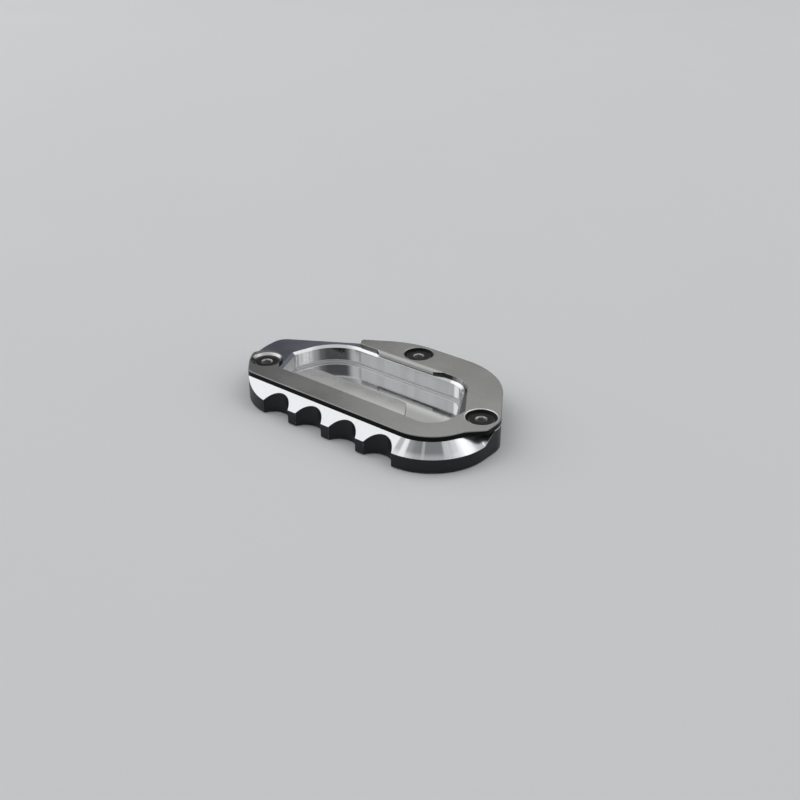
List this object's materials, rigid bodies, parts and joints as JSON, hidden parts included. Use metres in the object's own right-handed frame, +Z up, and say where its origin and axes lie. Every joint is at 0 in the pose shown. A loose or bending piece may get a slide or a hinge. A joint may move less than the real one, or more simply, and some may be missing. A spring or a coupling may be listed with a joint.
{
  "type": "kickstand foot enlarger",
  "caption": "Flat aluminium foot that clamps onto a kickstand to widen it: a pocketed base with a scalloped, bevelled front under a C-shaped plate held by countersunk screws.",
  "frame": {"origin": "middle of the outline, on the ground face", "axes": "+X along the straight toothed front to the broad end, +Y to the rear, +Z up"},
  "size_m": [0.1106, 0.065, 0.0114],
  "materials": {
    "black_anodised": "satin black anodised, with bevel, pocket and rim cut bright",
    "satin_aluminium": "satin machined top, black sides",
    "black_steel": "black oxide"
  },
  "bodies": {
    "root": {"base": "black_anodised", "clamp_plate": "satin_aluminium", "clamp_screws": "black_steel"}
  },
  "joints": []
}
